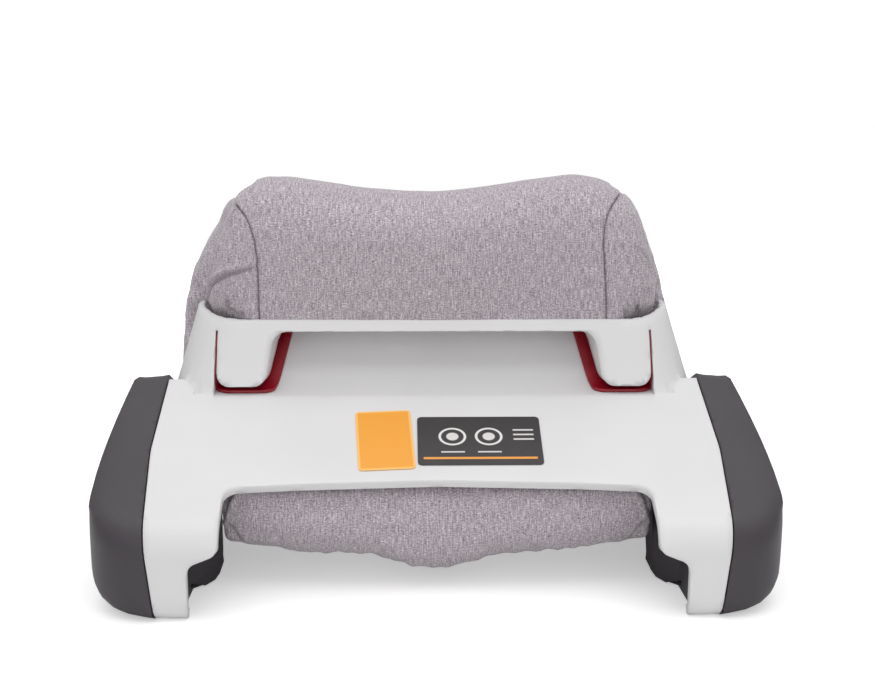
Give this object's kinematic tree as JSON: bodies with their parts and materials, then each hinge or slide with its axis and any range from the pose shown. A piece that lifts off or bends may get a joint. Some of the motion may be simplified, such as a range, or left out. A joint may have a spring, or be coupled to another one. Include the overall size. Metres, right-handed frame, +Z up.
{
  "type": "impact shield of a child car seat",
  "caption": "Impact shield of a child car seat: moulded shell with belt hooks and channel, side covers, foam core and padded textile cover.",
  "frame": {"origin": "on the floor under the middle of the shield's bounding box", "axes": "+X to the right seen from the front, +Y from the front toe to the child's side, +Z up"},
  "size_m": [0.459, 0.2699, 0.2672],
  "materials": {
    "white_plastic": "fine satin moulded white",
    "red_plastic": "smooth deep red moulding",
    "dark_plastic": "fine grained dark grey moulding",
    "heather_cover": "heather grey woven cover over foam",
    "foam": "dark bead foam",
    "carrier_plastic": "plain dark moulding",
    "screw_steel": "zinc plated steel",
    "orange_film": "orange sticker film, bare",
    "dark_film": "dark sticker film, bare"
  },
  "bodies": {
    "root": {"belt_guide_left": "red_plastic", "belt_guide_right": "red_plastic", "bolster_end_left": "heather_cover", "bolster_end_right": "heather_cover", "bolster_pad": "heather_cover", "carrier_plate": "carrier_plastic", "chest_pad": "heather_cover", "cover_screw_front_left": "screw_steel", "cover_screw_front_right": "screw_steel", "cover_screw_rear_left": "screw_steel", "cover_screw_rear_right": "screw_steel", "dark_sticker": "dark_film", "foam_core": "foam", "front_shell": "white_plastic", "lower_apron": "heather_cover", "orange_sticker": "orange_film", "plate_screw_lower_left": "screw_steel", "plate_screw_lower_right": "screw_steel", "plate_screw_upper_left": "screw_steel", "plate_screw_upper_right": "screw_steel", "side_cover_left": "dark_plastic", "side_cover_right": "dark_plastic", "side_pad_left": "heather_cover", "side_pad_right": "heather_cover"}
  },
  "joints": []
}
